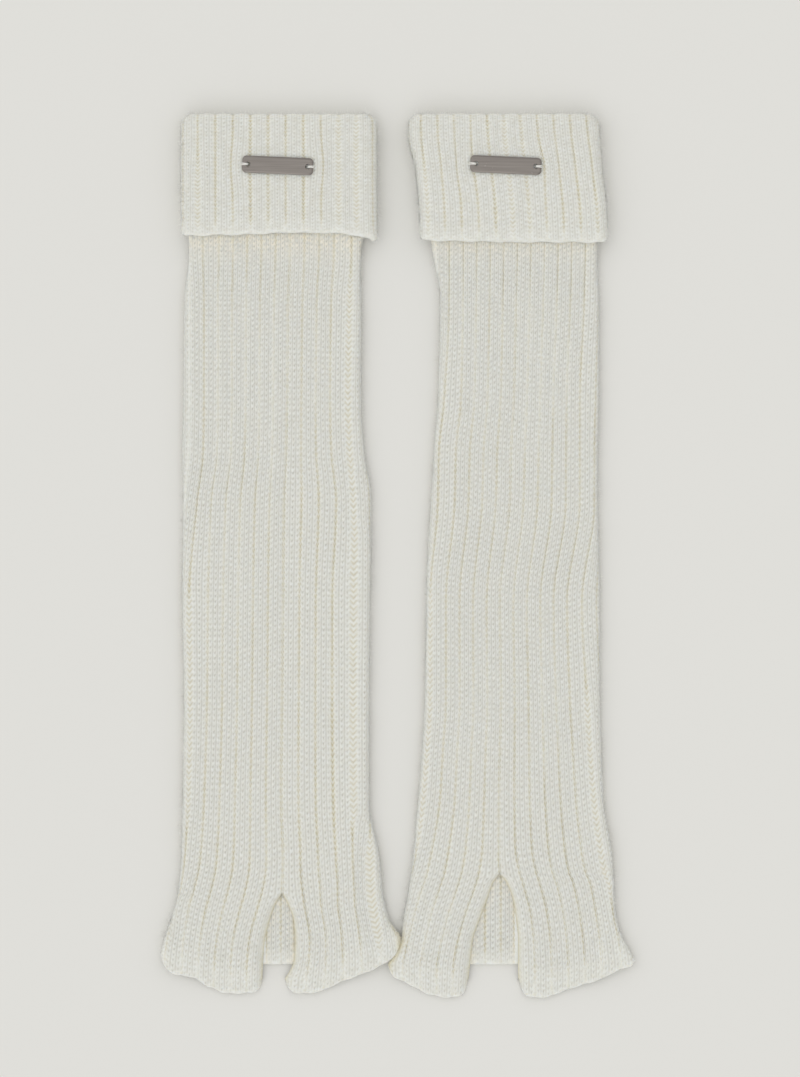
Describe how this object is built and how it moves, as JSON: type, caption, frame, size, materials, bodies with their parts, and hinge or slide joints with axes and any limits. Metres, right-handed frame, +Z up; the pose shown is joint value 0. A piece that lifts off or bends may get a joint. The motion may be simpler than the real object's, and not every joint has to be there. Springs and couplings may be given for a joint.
{
  "type": "pair of rib-knit leg warmers",
  "caption": "Cream rib-knit leg warmers laid flat side by side, with turned-down cuffs, slit flared hems and small bare metal plates sewn on the cuffs.",
  "frame": {"origin": "middle of the pair's footprint, on the surface that it lies on", "axes": "+X across the pair to the right, +Y along the legs towards the cuffs, +Z up off the surface"},
  "size_m": [0.2471, 0.4597, 0.0128],
  "materials": {
    "rib_knit": "soft matt wool-blend rib knit, cream, warmer in the grooves",
    "plate_metal": "satin dark nickel plate with eased edges"
  },
  "bodies": {
    "root": {"left_leg_back": "rib_knit", "left_leg_front": "rib_knit", "left_cuff_back": "rib_knit", "left_cuff_front": "rib_knit", "left_plate": "plate_metal", "right_leg_back": "rib_knit", "right_leg_front": "rib_knit", "right_cuff_back": "rib_knit", "right_cuff_front": "rib_knit", "right_plate": "plate_metal"}
  },
  "joints": []
}
